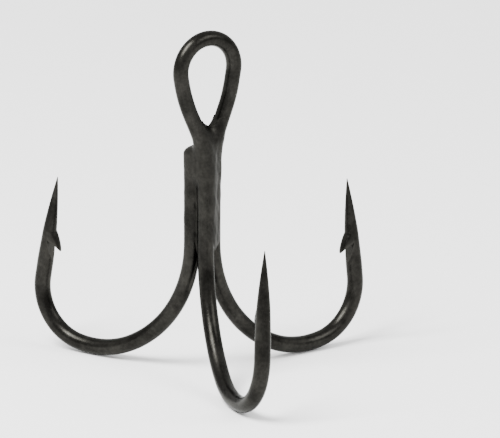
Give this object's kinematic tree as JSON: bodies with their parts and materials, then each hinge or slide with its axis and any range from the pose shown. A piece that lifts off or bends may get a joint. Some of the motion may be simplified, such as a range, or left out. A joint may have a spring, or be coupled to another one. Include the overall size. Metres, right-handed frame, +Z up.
{
  "type": "treble hook",
  "caption": "Barbed treble fishing hook: a double hook bent from wire with a teardrop eye, and a single hook brazed to its shank.",
  "frame": {"origin": "centre of the bounding box's base, on the plane that the lowest bend touches; the shank's axis stands 6.8 mm towards -X and 0.7 mm towards +Y of it", "axes": "+Z up the shank to the eye; the eye's plane is parallel to XZ, so its hole runs along Y; the front hook points to -Y, the left hook to +Y, the right hook to +X"},
  "size_m": [0.0346, 0.0448, 0.0429],
  "materials": {
    "plated_wire": "black nickel plating over high-carbon steel wire, satin, slightly uneven",
    "plated_braze": "black nickel plating over brazing filler, lumpy satin"
  },
  "bodies": {
    "root": {"double_hook": "plated_wire", "single_hook": "plated_wire", "braze_joint": "plated_braze"}
  },
  "joints": []
}
